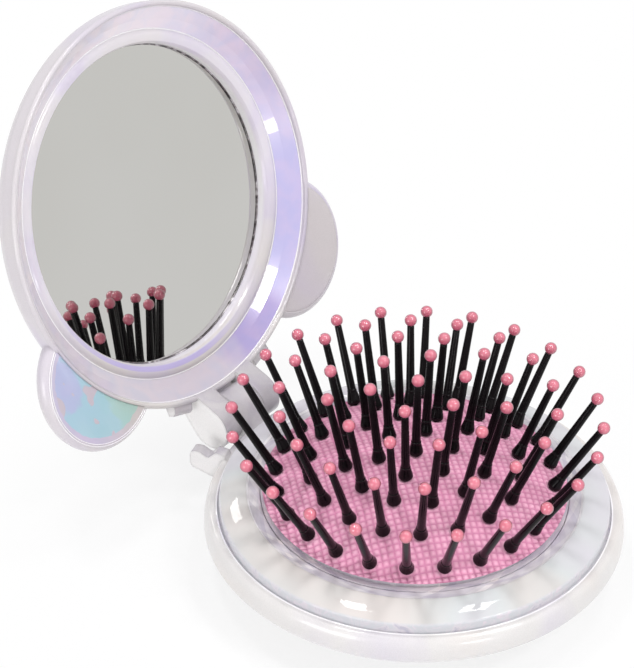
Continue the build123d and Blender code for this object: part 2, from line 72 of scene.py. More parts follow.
# Rows of pins: name, number, share of the pad's radius, lean, turn of the first
ROWS = (
    ("centre", 1, 0.0, 0.0, 0.0),
    ("row_6", 6, 0.2431, 6.9, 22.0),
    ("row_12", 12, 0.4586, 12.6, 20.0),
    ("row_18", 18, 0.6828, 21.2, 0.0),
    ("row_24", 24, 0.8966, 30.5, 4.0),
)
WHOLE_ROW = 12
PINS_IN_GROUP = 3
PIN_SIDES = 28

# One pin from its root to its tip: radius and height over the pad
PIN_PROFILE = (
    (0.0, -1.84), (1.08, -1.84), (1.18, -1.77), (1.18, -1.44), (1.1, -1.36), (0.66, -1.35),
    (0.6, -1.28), (0.6, 0.1), (0.68, 0.15), (1.12, 0.19), (1.27, 0.26), (1.36, 0.4), (1.4, 0.6),
    (1.39, 0.8), (1.34, 1.05), (1.24, 1.45), (1.12, 1.95), (1.02, 2.4), (0.95, 2.75), (0.95, 2.83),
    (0.97, 2.88), (0.965, 2.96), (0.92, 3.02), (0.88, 3.08), (0.86, 3.3), (0.85, 3.9), (0.82, 6.0),
    (0.77, 9.5), (0.72, 13.0), (0.69, 15.6), (0.68, 15.98), (0.62, 16.01), (0.0, 16.01),
)

# Base ring with its sleeve: radius and height, once round the section
RING_PROFILE = (
    (37.1, 10.92), (37.44, 10.95), (37.44, 12.84), (37.41, 12.94), (37.3, 13.03), (37.17, 13.14),
    (37.11, 13.3), (37.1, 13.6), (37.1, 14.5), (37.09, 14.74), (37.05, 14.9), (36.97, 15.03),
    (36.86, 15.13), (36.7, 15.22), (36.45, 15.37), (36.0, 15.63), (35.4, 15.92), (34.8, 16.17),
    (34.2, 16.39), (33.5, 16.6), (32.8, 16.76), (32.4, 16.83), (32.15, 16.86), (32.0, 16.865),
    (31.87, 16.83), (31.77, 16.76), (31.7, 16.66), (31.6, 16.55), (31.2, 16.46), (30.6, 16.33),
    (30.0, 16.2), (29.6, 16.14), (29.36, 16.08), (29.28, 15.98), (29.26, 15.42), (30.1, 15.41),
    (30.12, 4.42), (31.58, 4.42), (31.58, 10.92),
)
RIBS = 8
RIB_ENDS = (4.42, 15.4)
RIB_SECTION = ((30.3, -0.6), (29.62, -0.6), (29.52, -0.5), (29.52, 0.5), (29.62, 0.6), (30.3, 0.6))
TURNED_STEPS = 256

# Open lid: centre of its rim, the ways across it and towards the hinge, and the way out of its back
LID_ANGLE = math.radians(110.0)
LID_CENTRE = np.array([0.0, 60.403, 55.713])
LID_ACROSS = np.array([1.0, 0.0, 0.0])
LID_DOWN = np.array([0.0, math.cos(LID_ANGLE), -math.sin(LID_ANGLE)])
LID_BACK = np.array([0.0, math.sin(LID_ANGLE), math.cos(LID_ANGLE)])

# Lobes of the lid, each beside and below its centre; depths are back from the rim's plane
LOBE_SIDE = 28.5
LOBE_DROP = 22.6
LOBE_EDGE = 13.2
LOBE_WALL = 39.02
LOBE_FACE_DEPTH = 0.24
LOBE_BACK_DEPTH = 0.62
LOBE_ROLL_DEPTH = 0.16
LOBE_ROLL_WIDTH = 0.6
RIM_CLEAR = 39.35

# Hinge's axis, behind and up
HINGE_PLACE = (44.456, 14.21)

# Colours are 0 to 255. Painted shade and reflection of the cut facets, a tone to each, and their count and
# slant about the axis
FACET_PAINTED_SHADES = (
    (0.1, (197, 192, 204)), (0.35, (209, 205, 213)), (0.6, (216, 212, 217)), (0.78, (227, 224, 227)),
    (0.95, (245, 239, 239)),
)
FACET_STEPS = ((92.0, 900.0), (57.04, -1300.0))
FULL_WHITE = (1.0, 1.0, 1.0, 1.0)


# Node trees

def srgb(tone):
    """A colour of 0 to 255 as the linear values that a shader takes."""
    def linear(value):
        value = value / 255.0
        return value / 12.92 if value <= 0.04045 else ((value + 0.055) / 1.055) ** 2.4
    return tuple(linear(value) for value in tone) + (1.0,)


def feed(tree, socket, value):
    """Links a socket to another, or sets it to a colour or a number."""
    if isinstance(value, bpy.types.NodeSocket):
        tree.links.new(value, socket)
    elif isinstance(value, tuple) and socket.type == "RGBA":
        socket.default_value = srgb(value) if len(value) == 3 else value
    else:
        socket.default_value = value


def add_node(tree, kind, inputs=None, **settings):
    """Adds a node, sets its properties, and sets or links its inputs."""
    node = tree.nodes.new(kind)
    for key, value in settings.items():
        setattr(node, key, value)
    for key, value in (inputs or {}).items():
        feed(tree, node.inputs[key], value)
    return node


def new_material(name, **sockets):
    """A material with one Principled shader, whose uniform values are set on its sockets."""
    material = bpy.data.materials.new(name)
    material.use_nodes = True
    tree = material.node_tree
    shader = tree.nodes["Principled BSDF"]
    for key, value in sockets.items():
        shader.inputs[key.replace("_", " ")].default_value = value
    return material, tree, shader


def object_place(tree):
    """The point in the model's frame, in metres, which stays with the piece as it moves."""
    return add_node(tree, "ShaderNodeTexCoord").outputs["Object"]


def split(tree, place):
    """The three parts of a vector."""
    return add_node(tree, "ShaderNodeSeparateXYZ", {"Vector": place}).outputs


def noise(tree, place, scale, detail=2.0, roughness=0.5, distortion=0.0):
    """Noise at a scale in cells per metre, as a value about 0.5."""
    return add_node(tree, "ShaderNodeTexNoise", {
        "Vector": place, "Scale": scale, "Detail": detail, "Roughness": roughness,
        "Distortion": distortion,
    }).outputs["Fac"]


def ramp(tree, value, stops):
    """Colours laid over a value: (position, colour) pairs."""
    node = add_node(tree, "ShaderNodeValToRGB", {"Fac": value})
    elements = node.color_ramp.elements
    while len(elements) < len(stops):
        elements.new(0.5)
    for element, (position, tone) in zip(elements, stops):
        element.position = position
        element.color = srgb(tone)
    return node.outputs["Color"]


def mix(tree, share, first, second, blend="MIX"):
    """Mixes two colours by a share."""
    inputs = {0: share, 6: first, 7: second}
    return add_node(tree, "ShaderNodeMix", inputs, data_type="RGBA", blend_type=blend).outputs[2]


def calc(tree, operation, first, second=0.0, third=0.0, clamp=False):
    """One Math node."""
    inputs = {0: first, 1: second, 2: third}
    return add_node(tree, "ShaderNodeMath", inputs, operation=operation, use_clamp=clamp).outputs[0]


def rise(tree, value, start, end, **settings):
    """A share that goes from 0 at start to 1 at end."""
    inputs = {"Value": value, "From Min": start, "From Max": end}
    return add_node(tree, "ShaderNodeMapRange", inputs, **settings).outputs[0]


def off(tree, value, middle):
    """How far a value is from a middle one."""
    return calc(tree, "ABSOLUTE", calc(tree, "SUBTRACT", value, middle))


def reach(tree, first, second):
    """Distance from an axis."""
    squares = [calc(tree, "MULTIPLY", value, value) for value in (first, second)]
    return calc(tree, "SQRT", calc(tree, "ADD", *squares))


def around(tree, across, along):
    """Share of a turn about an axis: 0 at the far side from +across, growing towards -along."""
    turn = calc(tree, "ARCTAN2", along, across)
    return calc(tree, "MULTIPLY_ADD", turn, 1.0 / FULL_TURN, 0.5)


def dress(tree, shader, colour, height, distance, softened=0.0):
    """Links a colour and a bump, whose distance is in metres. Edges look round over the softened radius."""
    tree.links.new(colour, shader.inputs["Base Color"])
    inputs = {"Height": height, "Distance": distance, "Strength": 1.0}
    if softened:
        inputs["Normal"] = add_node(
            tree, "ShaderNodeBevel", {"Radius": softened}, samples=6).outputs["Normal"]
    tree.links.new(add_node(tree, "ShaderNodeBump", inputs).outputs["Normal"], shader.inputs["Normal"])


# Materials

def hinge_shade_zone(tree, place):
    """Mask of the knuckles, arms and barrel, where painted shade is laid: within a short way of the hinge's
    pin.
    """
    parts = split(tree, place)
    behind = calc(tree, "SUBTRACT", parts[1], HINGE_PLACE[0] * MM)
    above = calc(tree, "SUBTRACT", parts[2], HINGE_PLACE[1] * MM)
    return rise(tree, reach(tree, behind, above), 0.0085, 0.0068)


def pearl_plastic(name, body, tints, cell, gloss, coat, softened=0.0009, painted_hinge_shade=False):
    """Pearl-filled plastic: a pale body colour that drifts between tints, fine flake, and a clear skin.
    Round the hinge it can be painted greyer, partly the plastic's translucent look and partly painted shade,
    and faces to the side are painted paler as painted light."""
    material, tree, shader = new_material(
        name, Roughness=gloss, Coat_Weight=coat, Coat_Roughness=0.05, IOR=1.46)
    place = object_place(tree)
    drift = noise(tree, place, cell, 3.0, 0.45, 0.6)
    colour = ramp(tree, drift, [(0.3, tints[0]), (0.45, body), (0.56, body), (0.7, tints[1])])
    if painted_hinge_shade:
        # Painted shade round the hinge, grey, partly the plastic's translucent look; faces to the side get
        # painted light, paler.
        cloud = noise(tree, place, 130.0, 3.0, 0.6, 1.0)
        grey = ramp(tree, cloud, [(0.35, (184, 178, 188)), (0.5, (196, 191, 196)), (0.65, (203, 199, 201))])
        facing = split(tree, add_node(tree, "ShaderNodeNewGeometry").outputs["Normal"])[0]
        painted_side_light = calc(tree, "POWER", calc(tree, "ABSOLUTE", facing), 4.0)
        colour = mix(tree, hinge_shade_zone(tree, place), colour, mix(tree, painted_side_light, grey, (250, 248, 247)))
    flake = noise(tree, place, 5200.0, 1.0)
    flake_shade = ramp(tree, flake, [(0.3, (247, 247, 247)), (0.7, (255, 255, 255))])
    colour = mix(tree, 1.0, colour, flake_shade, "MULTIPLY")
    dress(tree, shader, colour, noise(tree, place, 260.0), 0.000004, softened)
    return material


def lid_axes(tree, place):
    """Place across the lid, towards the hinge and out of the back, from the rim's centre."""
    origin = tuple(LID_CENTRE * MM)
    place = add_node(tree, "ShaderNodeVectorMath", {0: place, 1: origin}, operation="SUBTRACT").outputs[0]
    values = []
    for way in (LID_ACROSS, LID_DOWN, LID_BACK):
        dot = add_node(tree, "ShaderNodeVectorMath", {0: place, 1: tuple(way)}, operation="DOT_PRODUCT")
        values.append(dot.outputs["Value"])
    return values


def painted_facet_light(tree, place):
    """Painted shade and reflection of cut glass: slanted steps about the base's axis, each painted its own
    tone in place of the light its facet would catch.
    """
    x, y = split(tree, place)[:2]
    turn, radius = around(tree, x, y), reach(tree, x, y)
    shades = []
    for count, slant in FACET_STEPS:
        steps = calc(tree, "ADD", calc(tree, "MULTIPLY", turn, count), calc(tree, "MULTIPLY", radius, slant))
        step = calc(tree, "FLOOR", steps)
        shade = add_node(tree, "ShaderNodeTexWhiteNoise", {"W": step}, noise_dimensions="1D")
        shades.append(shade.outputs["Value"])
    return ramp(tree, calc(tree, "MULTIPLY", calc(tree, "ADD", *shades), 0.5), FACET_PAINTED_SHADES)


def clear_ring():
    """Pearl ring under clear gloss: painted facet shade and reflection inside the crest, a painted highlight
    line on the crest, a pale band, and a mottled wall outside.
    """
    material, tree, shader = new_material(
        "clear_pearl_ring", Roughness=0.45, Coat_Roughness=0.03, Coat_IOR=1.42, Specular_IOR_Level=0.1)
    place = object_place(tree)
    radius = reach(tree, *split(tree, place)[:2])
    band = ramp(tree, noise(tree, place, 34.0, 2.0, 0.45, 0.3), [
        (0.32, (218, 211, 208)), (0.44, (212, 209, 207)), (0.54, (208, 211, 212)), (0.68, (210, 206, 214)),
    ])
    wall = ramp(tree, noise(tree, place, 260.0, 4.0, 0.65, 0.8), [
        (0.32, (190, 187, 200)), (0.43, (214, 209, 215)), (0.55, (203, 205, 210)), (0.68, (220, 210, 218)),
    ])
    outside_crest = rise(tree, radius, 0.0314, 0.0318)
    on_wall = rise(tree, radius, 0.03665, 0.03705)
    # Painted highlight: a near-white line along the crest.
    painted_crest_highlight = rise(tree, off(tree, radius, 0.03172), 0.00022, 0.0001)
    colour = mix(tree, on_wall, mix(tree, outside_crest, painted_facet_light(tree, place), band), wall)
    colour = mix(tree, painted_crest_highlight, colour, (250, 249, 251))
    coat = calc(tree, "MULTIPLY_ADD", outside_crest, 0.4, 0.25)
    tree.links.new(coat, shader.inputs["Coat Weight"])
    dress(tree, shader, colour, noise(tree, place, 260.0), 0.000003)
    return material


def channel_film():
    """Iridescent film under clear gloss: lilac, deepest near the hinge's right, greyer on the left."""
    material, tree, shader = new_material(
        "channel_film", Roughness=0.22, Coat_Weight=1.0, Coat_Roughness=0.03, IOR=1.5)
    place = object_place(tree)
    across, along, _ = lid_axes(tree, place)
    drift = noise(tree, place, 46.0, 2.0, 0.5, 0.5)
    lay = calc(tree, "ADD", around(tree, across, along), calc(tree, "MULTIPLY_ADD", drift, 0.12, -0.06))
    colour = ramp(tree, lay, [
        (0.02, (213, 207, 207)), (0.14, (226, 218, 224)), (0.26, (240, 233, 239)), (0.36, (226, 217, 234)),
        (0.47, (211, 201, 230)), (0.52, (197, 190, 229)), (0.62, (194, 187, 228)), (0.65, (168, 153, 206)),
        (0.7, (170, 156, 203)), (0.73, (197, 189, 201)), (0.86, (198, 191, 201)),
    ])
    fine = noise(tree, place, 240.0, 2.0, 0.5, 0.5)
    tone = ramp(tree, fine, [(0.35, (244, 247, 252)), (0.6, (255, 251, 251))])
    colour = mix(tree, 1.0, colour, tone, "MULTIPLY")
    dress(tree, shader, colour, noise(tree, place, 300.0), 0.000004)
    return material


def lobe_film():
    """Iridescent film of the left lobe: blue, lilac and teal patches in a pearly border."""
    material, tree, shader = new_material(
        "lobe_film", Roughness=0.28, Coat_Weight=1.0, Coat_Roughness=0.04, IOR=1.5)
    place = object_place(tree)
    across, along, _ = lid_axes(tree, place)
    drift = noise(tree, place, 60.0, 3.0, 0.55, 1.1)
    slope = calc(tree, "MULTIPLY_ADD", across, 20.0, 0.97)
    slope = calc(tree, "ADD", slope, calc(tree, "MULTIPLY", along, 8.0))
    lay = calc(tree, "ADD", slope, calc(tree, "MULTIPLY_ADD", drift, 0.5, -0.25))
    film = ramp(tree, lay, [
        (0.2, (188, 190, 224)), (0.35, (186, 194, 225)), (0.4, (174, 207, 222)), (0.6, (171, 208, 218)),
        (0.66, (173, 209, 205)), (0.8, (178, 207, 198)),
    ])
    film.node.color_ramp.interpolation = "EASE"
    chip = rise(tree, noise(tree, place, 150.0, 1.0, 0.4, 1.6), 0.655, 0.675)
    film = mix(tree, chip, film, (204, 194, 204))
    side = calc(tree, "ADD", across, LOBE_SIDE * MM)
    down = calc(tree, "SUBTRACT", along, LOBE_DROP * MM)
    wobble = calc(tree, "MULTIPLY_ADD", noise(tree, place, 500.0), 0.0009, -0.00045)
    radius = calc(tree, "ADD", reach(tree, side, down), wobble)
    radius = calc(tree, "ADD", radius, calc(tree, "MULTIPLY", side, 0.05))
    in_border = rise(tree, radius, 0.0113, 0.01145)
    border = mix(tree, rise(tree, side, -0.006, 0.004), (203, 196, 218), (207, 202, 200))
    colour = mix(tree, in_border, film, border)
    dress(tree, shader, colour, noise(tree, place, 420.0), 0.000006)
    return material


def bezel_pearl():
    """Polished pearl bead with painted light: pale above and painted shade in grey-lilac towards the hinge,
    a painted highlight on its inner wall, whiter above, and a painted lilac reflection as a band at its
    lower left.
    """
    material, tree, shader = new_material(
        "bezel_pearl", Roughness=0.3, Coat_Weight=0.7, Coat_Roughness=0.04, Coat_IOR=1.45)
    place = object_place(tree)
    across, along, depth = lid_axes(tree, place)
    drift = noise(tree, place, 60.0, 3.0, 0.45, 0.6)
    # Lit and shaded copies: the grey-lilac tones below are painted shade.
    lit_upper = ramp(tree, drift, [(0.32, (214, 206, 224)), (0.48, (221, 216, 224)), (0.66, (224, 219, 221))])
    shaded_lower = ramp(tree, drift, [(0.32, (196, 188, 205)), (0.48, (202, 196, 202)), (0.66, (206, 201, 200))])
    lower = rise(tree, along, 0.004, 0.024)
    on_wall = rise(tree, depth, 0.0046, 0.0053)
    # Painted highlight on the inner wall, whiter above.
    wall = mix(tree, lower, (248, 247, 248), (226, 221, 230))
    colour = mix(tree, on_wall, mix(tree, lower, lit_upper, shaded_lower), wall)
    # Painted reflection: a lilac band at the lower left.
    painted_reflection_band = rise(tree, off(tree, reach(tree, across, along), 0.03195), 0.0006, 0.0004)
    share = calc(tree, "MULTIPLY", calc(tree, "MULTIPLY", painted_reflection_band, lower), rise(tree, across, 0.014, 0.0))
    colour = mix(tree, share, colour, (181, 170, 213))
    dress(tree, shader, colour, noise(tree, place, 260.0), 0.000004)
    return material


def painted_reflection_edge():
    """Dark polished edge of the silvering round the mirror, whose dark and pale short streaks are painted
    reflections.
    """
    material, tree, shader = new_material(
        "painted_reflection_edge", Roughness=0.2, Coat_Weight=1.0, Coat_Roughness=0.05)
    streaks = noise(tree, object_place(tree), 210.0, 3.0, 0.6, 0.4)
    colour = ramp(tree, streaks, [
        (0.36, (214, 210, 214)), (0.45, (96, 86, 92)), (0.52, (40, 32, 36)), (0.6, (120, 112, 116)),
        (0.68, (226, 222, 226)),
    ])
    dress(tree, shader, colour, streaks, 0.00002)
    return material


def mirror_silver():
    """Silvered glass: a clean mirror with the faint haze of its silvering."""
    material, tree, shader = new_material("mirror_silver", Metallic=1.0, Roughness=0.012)
    haze = noise(tree, object_place(tree), 25.0)
    colour = ramp(tree, haze, [(0.3, (195, 194, 190)), (0.7, (198, 197, 194))])
    tree.links.new(colour, shader.inputs["Base Color"])
    return material


def foam():
    """Grey closed-cell foam of the disc that bonds the mirror."""
    material, tree, shader = new_material("bonding_foam", Roughness=0.9)
    inputs = {"Vector": object_place(tree), "Scale": 2600.0}
    cells = add_node(tree, "ShaderNodeTexVoronoi", inputs).outputs["Distance"]
    dress(tree, shader, ramp(tree, cells, [(0.0, (90, 90, 92)), (0.6, (150, 150, 152))]), cells, 0.0001)
    return material


def steel():
    """Drawn steel of the hinge pin, with lines round it."""
    material, tree, shader = new_material("hinge_steel", Metallic=1.0, Roughness=0.32)
    inputs = {"Vector": object_place(tree), "Scale": (6.0, 1.0, 1.0)}
    stretched = add_node(tree, "ShaderNodeMapping", inputs).outputs[0]
    lines = noise(tree, stretched, 900.0, 3.0)
    colour = ramp(tree, lines, [(0.3, (158, 160, 164)), (0.7, (196, 197, 200))])
    dress(tree, shader, colour, lines, 0.00001)
    return material


def carrier_plastic():
    """Clear-edged moulded carrier under the pad, with the same painted facet shade and reflection as the
    ring's inner slope.
    """
    material, tree, shader = new_material("carrier_plastic", Roughness=0.3, Coat_Weight=0.5)
    place = object_place(tree)
    dress(tree, shader, painted_facet_light(tree, place), noise(tree, place, 1800.0, 3.0), 0.00001)
    return material


def tip_plastic():
    """Pink dipped tips: gloss skin, with painted shade darker round the edge, and faint uneven colour."""
    material, tree, shader = new_material(
        "tip_plastic", Roughness=0.35, Coat_Weight=1.0, Coat_Roughness=0.02, Coat_IOR=1.6)
    place = object_place(tree)
    face = ramp(tree, noise(tree, place, 620.0), [(0.3, (208, 102, 124)), (0.7, (219, 117, 138))])
    # Painted shade: darker where the surface turns from the camera.
    edge = add_node(tree, "ShaderNodeLayerWeight", {"Blend": 0.35}).outputs["Facing"]
    colour = mix(tree, rise(tree, edge, 0.18, 0.62), face, (160, 64, 88))
    dress(tree, shader, colour, noise(tree, place, 900.0), 0.000004)
    return material


def pin_nylon():
    """Black moulded nylon with a faint grain and a crisp sheen."""
    material, tree, shader = new_material(
        "pin_nylon", Roughness=0.17, IOR=1.42, Specular_IOR_Level=0.22)
    grain = noise(tree, object_place(tree), 1500.0, 3.0)
    dress(tree, shader, ramp(tree, grain, [(0.3, (9, 5, 8)), (0.7, (17, 12, 15))]), grain, 0.000005)
    return material


def pad_rubber():
    """Satin pink rubber: squares paler than the grooves, whose darker pink is painted shade, a powdery
    grain, and a cut skirt below its lip in the painted facet shade and reflection.
    """
    material, tree, shader = new_material(
        "pad_rubber", Roughness=0.5, Sheen_Weight=0.15, Sheen_Roughness=0.4, IOR=1.45)
    place = object_place(tree)
    groove, skirt = (
        add_node(tree, "ShaderNodeAttribute", attribute_name=name).outputs["Fac"]
        for name in ("groove", "skirt")
    )
    face = ramp(tree, noise(tree, place, 140.0, 3.0), [(0.3, (238, 170, 199)), (0.7, (248, 187, 212))])
    # Painted shade darkens the grooves; the skirt takes the painted facet shade and reflection.
    colour = mix(tree, skirt, mix(tree, groove, face, (209, 132, 168)), painted_facet_light(tree, place))
    dress(tree, shader, colour, noise(tree, place, 3800.0), 0.00002)
    return material


def assign(node, material):
    """Gives a CAD node's object one material."""
    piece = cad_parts[node]
    if not piece.material_slots:
        piece.data.materials.append(material)
    for place in piece.material_slots:
        place.material = material


def dress_nodes():
    """Materials of the CAD nodes that are kept as they are."""
    assign("base_shell", pearl_plastic(
        "pearl_shell", (223, 220, 219), ((216, 211, 219), (224, 217, 213)), 38.0, 0.3, 0.5, painted_hinge_shade=True))
    assign("lid_shell", pearl_plastic(
        "pearl_lid", (211, 205, 210), ((203, 194, 213), (216, 212, 209)), 34.0, 0.3, 0.5, painted_hinge_shade=True))
    assign("lid_channel_ring", channel_film())
    assign("mirror_bezel", bezel_pearl())
    assign("mirror_glass", mirror_silver())
    assign("mirror_backing", foam())
    assign("hinge_pin", steel())
    assign("pad_carrier", carrier_plastic())
    tips = tip_plastic()
    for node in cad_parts:
        if node.startswith("tips_"):
            assign(node, tips)


# Meshes

def mesh_piece(name, points, faces, material):
    """A smooth mesh object from points in millimetres."""
    mesh = bpy.data.meshes.new(name)
    mesh.from_pydata((np.asarray(points, float) * MM).tolist(), [], faces)
    mesh.validate()
    mesh.update()
    mesh.polygons.foreach_set("use_smooth", [True] * len(mesh.polygons))
    piece = bpy.data.objects.new(name, mesh)
    bpy.context.scene.collection.objects.link(piece)
    mesh.materials.append(material)
    return piece


def angles(number):
    """Even angles once round."""
    return np.linspace(0.0, FULL_TURN, number, endpoint=False)


def strip_faces(rows, columns, start=0, closed=False):
    """Quads between rows of points that each go once round. If closed, the last row joins the first."""
    faces = []
    for row in range(rows if closed else rows - 1):
        here = start + row * columns
        there = start + (row + 1) % rows * columns
        for column in range(columns):
            after = (column + 1) % columns
            faces.append((here + column, here + after, there + after, there + column))
    return faces


def turned(profile, segments):
    """Points and faces of a closed ring-shaped profile, (radius, height) pairs, about the base's axis."""
    turn = angles(segments)
    points = [(r * math.cos(a), r * math.sin(a), z) for r, z in profile for a in turn]
    return points, strip_faces(len(profile), segments, closed=True)


def tube(path, ways, radius, sides=10):
    """Points and faces of a capped round bead along points, with two cross directions at each."""
    points = []
    for place, (first, second) in zip(path, ways):
        for angle in angles(sides):
            points.append(place + (first * math.cos(angle) + second * math.sin(angle)) * radius)
    faces = strip_faces(len(path), sides)
    faces.append(tuple(range(sides))[::-1])
    faces.append(tuple((len(path) - 1) * sides + side for side in range(sides)))
    return points, faces


def lathe(frames, profile, segments):
    """Points and faces of one closed turned profile, (radius, height) pairs, at each frame."""
    turn = angles(segments)
    rings = len(profile) - 2
    points, faces = [], []
    for foot, along, side, other in frames:
        base = len(points)
        for radius, height in profile[1:-1]:
            for angle in turn:
                out = side * math.cos(angle) + other * math.sin(angle)
                points.append(foot + along * height + out * radius)
        bottom, top = len(points), len(points) + 1
        points.append(foot + along * profile[0][1])
        points.append(foot + along * profile[-1][1])
        faces += strip_faces(rings, segments, base)
        last = base + (rings - 1) * segments
        for step in range(segments):
            after = (step + 1) % segments
            faces.append((bottom, base + after, base + step))
            faces.append((top, last + step, last + after))
    return points, faces


def make_ring(material):
    """Glossy ring with crisp edges, its guide sleeve and the ribs inside it."""
    points, faces = turned(RING_PROFILE, TURNED_STEPS)
    corners = len(RIB_SECTION)
    for angle in angles(RIBS):
        out = np.array([math.cos(angle), math.sin(angle), 0.0])
        side = np.array([-math.sin(angle), math.cos(angle), 0.0])
        base = len(points)
        for height in RIB_ENDS:
            for radius, shift in RIB_SECTION:
                points.append(tuple(out * radius + side * shift + np.array([0.0, 0.0, height])))
        faces += strip_faces(2, corners, base)
        faces.append(tuple(base + step for step in range(corners))[::-1])
        faces.append(tuple(base + corners + step for step in range(corners)))
    piece = mesh_piece("gloss_ring", points, faces, material)
    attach(piece, "base")
    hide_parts("base_ring")


def lid_point(across, along, depth):
    """A point in the lid's own measures: across, towards the hinge, and back from the rim's plane."""
    return LID_CENTRE + LID_ACROSS * across + LID_DOWN * along + LID_BACK * depth


def lid_circle(name, radius, depth, bead, material):
    """A round bead on a circle about the lid's axis."""
    steps, sides = 240, 8
    points = []
    for angle in angles(steps):
        for turn in angles(sides):
            ring = radius + bead * math.cos(turn)
            points.append(lid_point(
                ring * math.cos(angle), ring * math.sin(angle), depth + bead * math.sin(turn)))
    piece = mesh_piece(name, points, strip_faces(steps, sides, closed=True), material)
    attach(piece, "lid")


def make_lobe_face(name, side, material):
    """Face of one lobe: a thin plate with a softly rolled edge that runs up to the rim's wall."""
    far = math.hypot(LOBE_SIDE, LOBE_DROP)
    middle = math.atan2(LOBE_DROP, side * LOBE_SIDE)
    rows, columns = 60, 48
    top, bottom, faces = [], [], []
    for row in range(rows + 1):
        share = 1.0 - (1.0 - row / rows) ** 2
        ring = LOBE_WALL + (far + LOBE_EDGE - LOBE_WALL) * share
        cosine = (ring ** 2 + far ** 2 - LOBE_EDGE ** 2) / (2 * ring * far)
        spread = math.acos(max(-1.0, min(1.0, cosine)))
        for column in range(columns + 1):
            angle = middle + spread * math.sin((column / columns - 0.5) * math.pi)
            across, along = ring * math.cos(angle), ring * math.sin(angle)
            inward = LOBE_EDGE - math.hypot(across - side * LOBE_SIDE, along - LOBE_DROP)
            roll = LOBE_ROLL_DEPTH * max(0.0, 1.0 - inward / LOBE_ROLL_WIDTH) ** 2
            top.append(lid_point(across, along, LOBE_FACE_DEPTH + roll))
            bottom.append(lid_point(across, along, LOBE_BACK_DEPTH))
    width = columns + 1
    under = len(top)
    for row in range(rows):
        for column in range(columns):
            a = row * width + column
            quad = (a, a + 1, a + width + 1, a + width)
            faces += [quad, tuple(under + corner for corner in quad[::-1])]
    outline = [row * width for row in range(rows)]
    outline += [rows * width + column for column in range(columns)]
    outline += [row * width + columns for row in range(rows, 0, -1)]
    outline += list(range(columns, 0, -1))
    for a, b in zip(outline, outline[1:] + outline[:1]):
        faces.append((a, b, under + b, under + a))
    piece = mesh_piece("lobe_face_" + name, top + bottom, faces, material)
    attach(piece, "lid")
    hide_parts("lid_lobe_panel_" + name)


def make_lobe_bead(material):
    """Double bead round the left lobe's face, outside the rim."""
    points, faces = [], []
    for radius in (13.22, 12.8):
        path, ways = [], []
        for angle in angles(360):
            across = radius * math.cos(angle) - LOBE_SIDE
            along = radius * math.sin(angle) + LOBE_DROP
            if math.hypot(across, along) > RIM_CLEAR:
                path.append(lid_point(across, along, 0.28))
                ways.append((LID_ACROSS * math.cos(angle) + LID_DOWN * math.sin(angle), LID_BACK))
        more_points, more_faces = tube(path, ways, 0.1)
        faces += [tuple(index + len(points) for index in face) for face in more_faces]
        points += more_points
    piece = mesh_piece("lobe_bead_left", points, faces, material)
    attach(piece, "lid")


def make_mouth_bead(material):
    """Bead at the shell's mouth."""
    profile = [(37.58 + 0.2 * math.cos(turn), 13.15 + 0.2 * math.sin(turn)) for turn in angles(14)]
    piece = mesh_piece("mouth_bead", *turned(profile, TURNED_STEPS), material)
    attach(piece, "base")


def make_beads():
    """Fine moulded beads: channel's foot and crest, mirror's edge, shell's mouth and left lobe. The pale
    beads are a near-white pearl, painted highlight lines; the mirror's edge carries painted reflections.
    """
    # Near-white pearl: painted highlight lines along the beads.
    white = pearl_plastic(
        "bead_pearl_painted_highlight", (247, 245, 248), ((240, 236, 246), (250, 248, 246)), 60.0, 0.2, 0.8, softened=0.0)
    lid_circle("channel_foot_bead", 33.93, 4.08, 0.16, white)
    lid_circle("channel_crest_bead", 38.2, 0.92, 0.16, white)
    lid_circle("mirror_edge_line", 30.93, 6.58, 0.15, painted_reflection_edge())
    make_mouth_bead(white)
    make_lobe_bead(white)


def dome_height(radius):
    return DOME_CENTRE + np.sqrt(DOME_RADIUS ** 2 - np.minimum(radius, PAD_INNER) ** 2)


def pin_frames(row, first=0, number=None):
    """Foot, direction and sideways axes of a row's pins."""
    count, share, lean, turn = row[1:]
    radius = share * PAD_RADIUS
    tilt = math.radians(lean)
    frames = []
    for index in range(first, first + (number or count)):
        angle = math.radians(turn + 360.0 * index / count)
        out = np.array([math.cos(angle), math.sin(angle), 0.0])
        side = np.array([-math.sin(angle), math.cos(angle), 0.0])
        along = out * math.sin(tilt) + np.array([0.0, 0.0, math.cos(tilt)])
        foot = out * radius + np.array([0.0, 0.0, float(dome_height(radius))])
        frames.append((foot, along, side, np.cross(along, side)))
    return frames


def make_pins(material):
    """Black pins with belled feet, one piece to each body."""
    for row in ROWS:
        name, count = row[:2]
        groups = [(name, pin_frames(row))]
        if count > WHOLE_ROW:
            groups = [
                (f"{name}_{index + 1}", pin_frames(row, index * PINS_IN_GROUP, PINS_IN_GROUP))
                for index in range(count // PINS_IN_GROUP)
            ]
        for group, frames in groups:
            piece = mesh_piece("nylon_pins_" + group, *lathe(frames, PIN_PROFILE, PIN_SIDES), material)
            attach(piece, "pins_" + group)
            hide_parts("pins_" + group)


def waffle(across, along):
    """Depth of the woven pattern, 0 on a square's face and 1 in a groove, at steps across and along."""
    def groove(value):
        part = np.abs((value / WAFFLE_PITCH) % 1.0 - 0.5) * 2.0
        return np.clip((part - 0.12) / 0.88, 0.0, 1.0) ** 2.0
    return 1.0 - (1.0 - groove(across)) * (1.0 - groove(along))


def nearest_pins(surface, frames):
    """Distance from each point to the nearest pin's axis, and that pin's number."""
    near = np.full(surface.shape[:-1], 1e9)
    nearest = np.full(near.shape, -1)
    for index, (foot, way, _, _) in enumerate(frames):
        gap = surface - foot
        gap -= (gap @ way)[..., None] * way
        distance = np.linalg.norm(gap, axis=-1)
        closer = distance < near
        near[closer] = distance[closer]
        nearest[closer] = index
    return near, nearest


